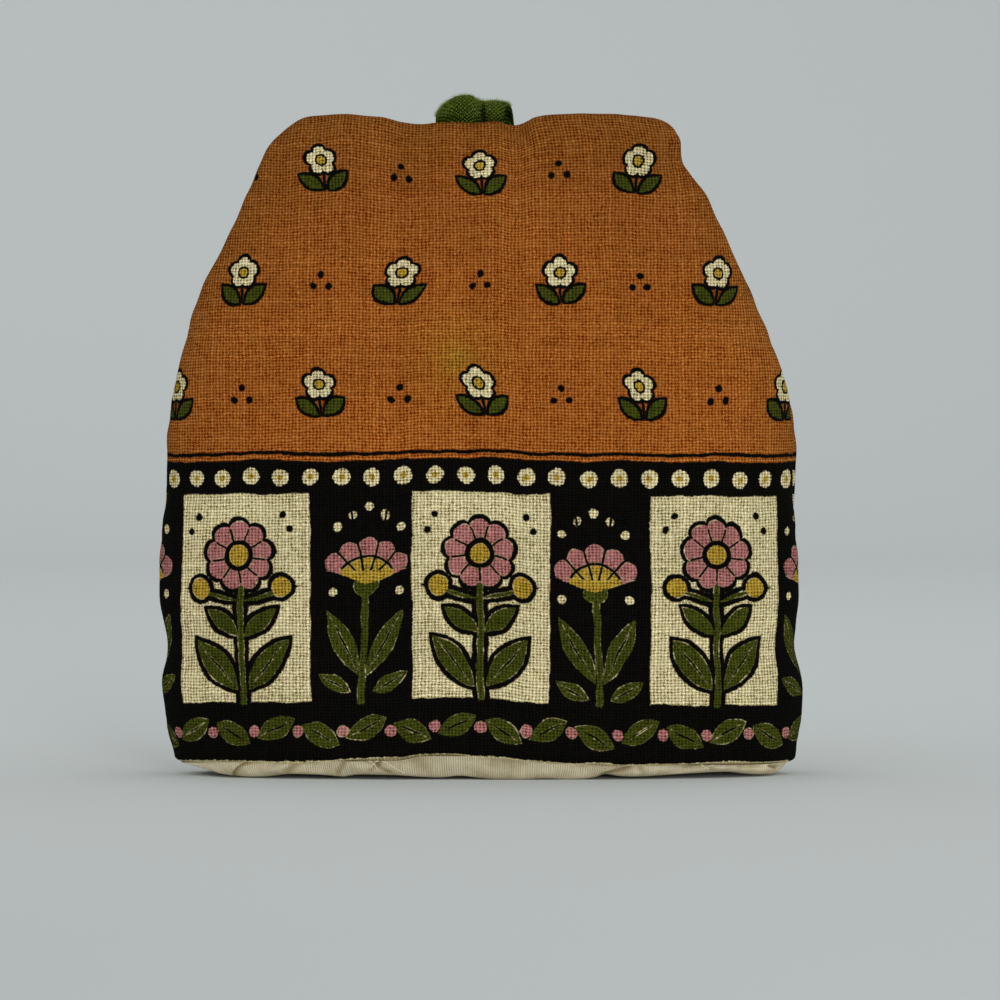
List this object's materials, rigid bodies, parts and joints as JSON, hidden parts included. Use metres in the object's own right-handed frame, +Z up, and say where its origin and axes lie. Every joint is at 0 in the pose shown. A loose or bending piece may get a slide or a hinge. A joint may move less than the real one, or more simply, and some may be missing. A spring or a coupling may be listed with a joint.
{
  "type": "egg cosy",
  "caption": "Padded cloth egg cosy with a tapered rounded body, printed front and back, a cream lining that rolls out at the hem, and a small tape loop in the top seam.",
  "frame": {"origin": "on the surface under the middle of the mouth, where the hem rests", "axes": "+Z up from the hem to the loop, +X to the right of the front panel, and the front panel faces -Y"},
  "size_m": [0.1007, 0.0302, 0.1073],
  "materials": {
    "printed_linen": "matt plain-weave linen, screen printed in rust, cream, black, green, pink and mustard",
    "lining_cotton": "matt cream cotton poplin with fine ribs",
    "loop_tape": "matt olive green bias tape"
  },
  "bodies": {
    "root": {"front_panel": "printed_linen", "back_panel": "printed_linen", "lining": "lining_cotton", "loop": "loop_tape"}
  },
  "joints": []
}
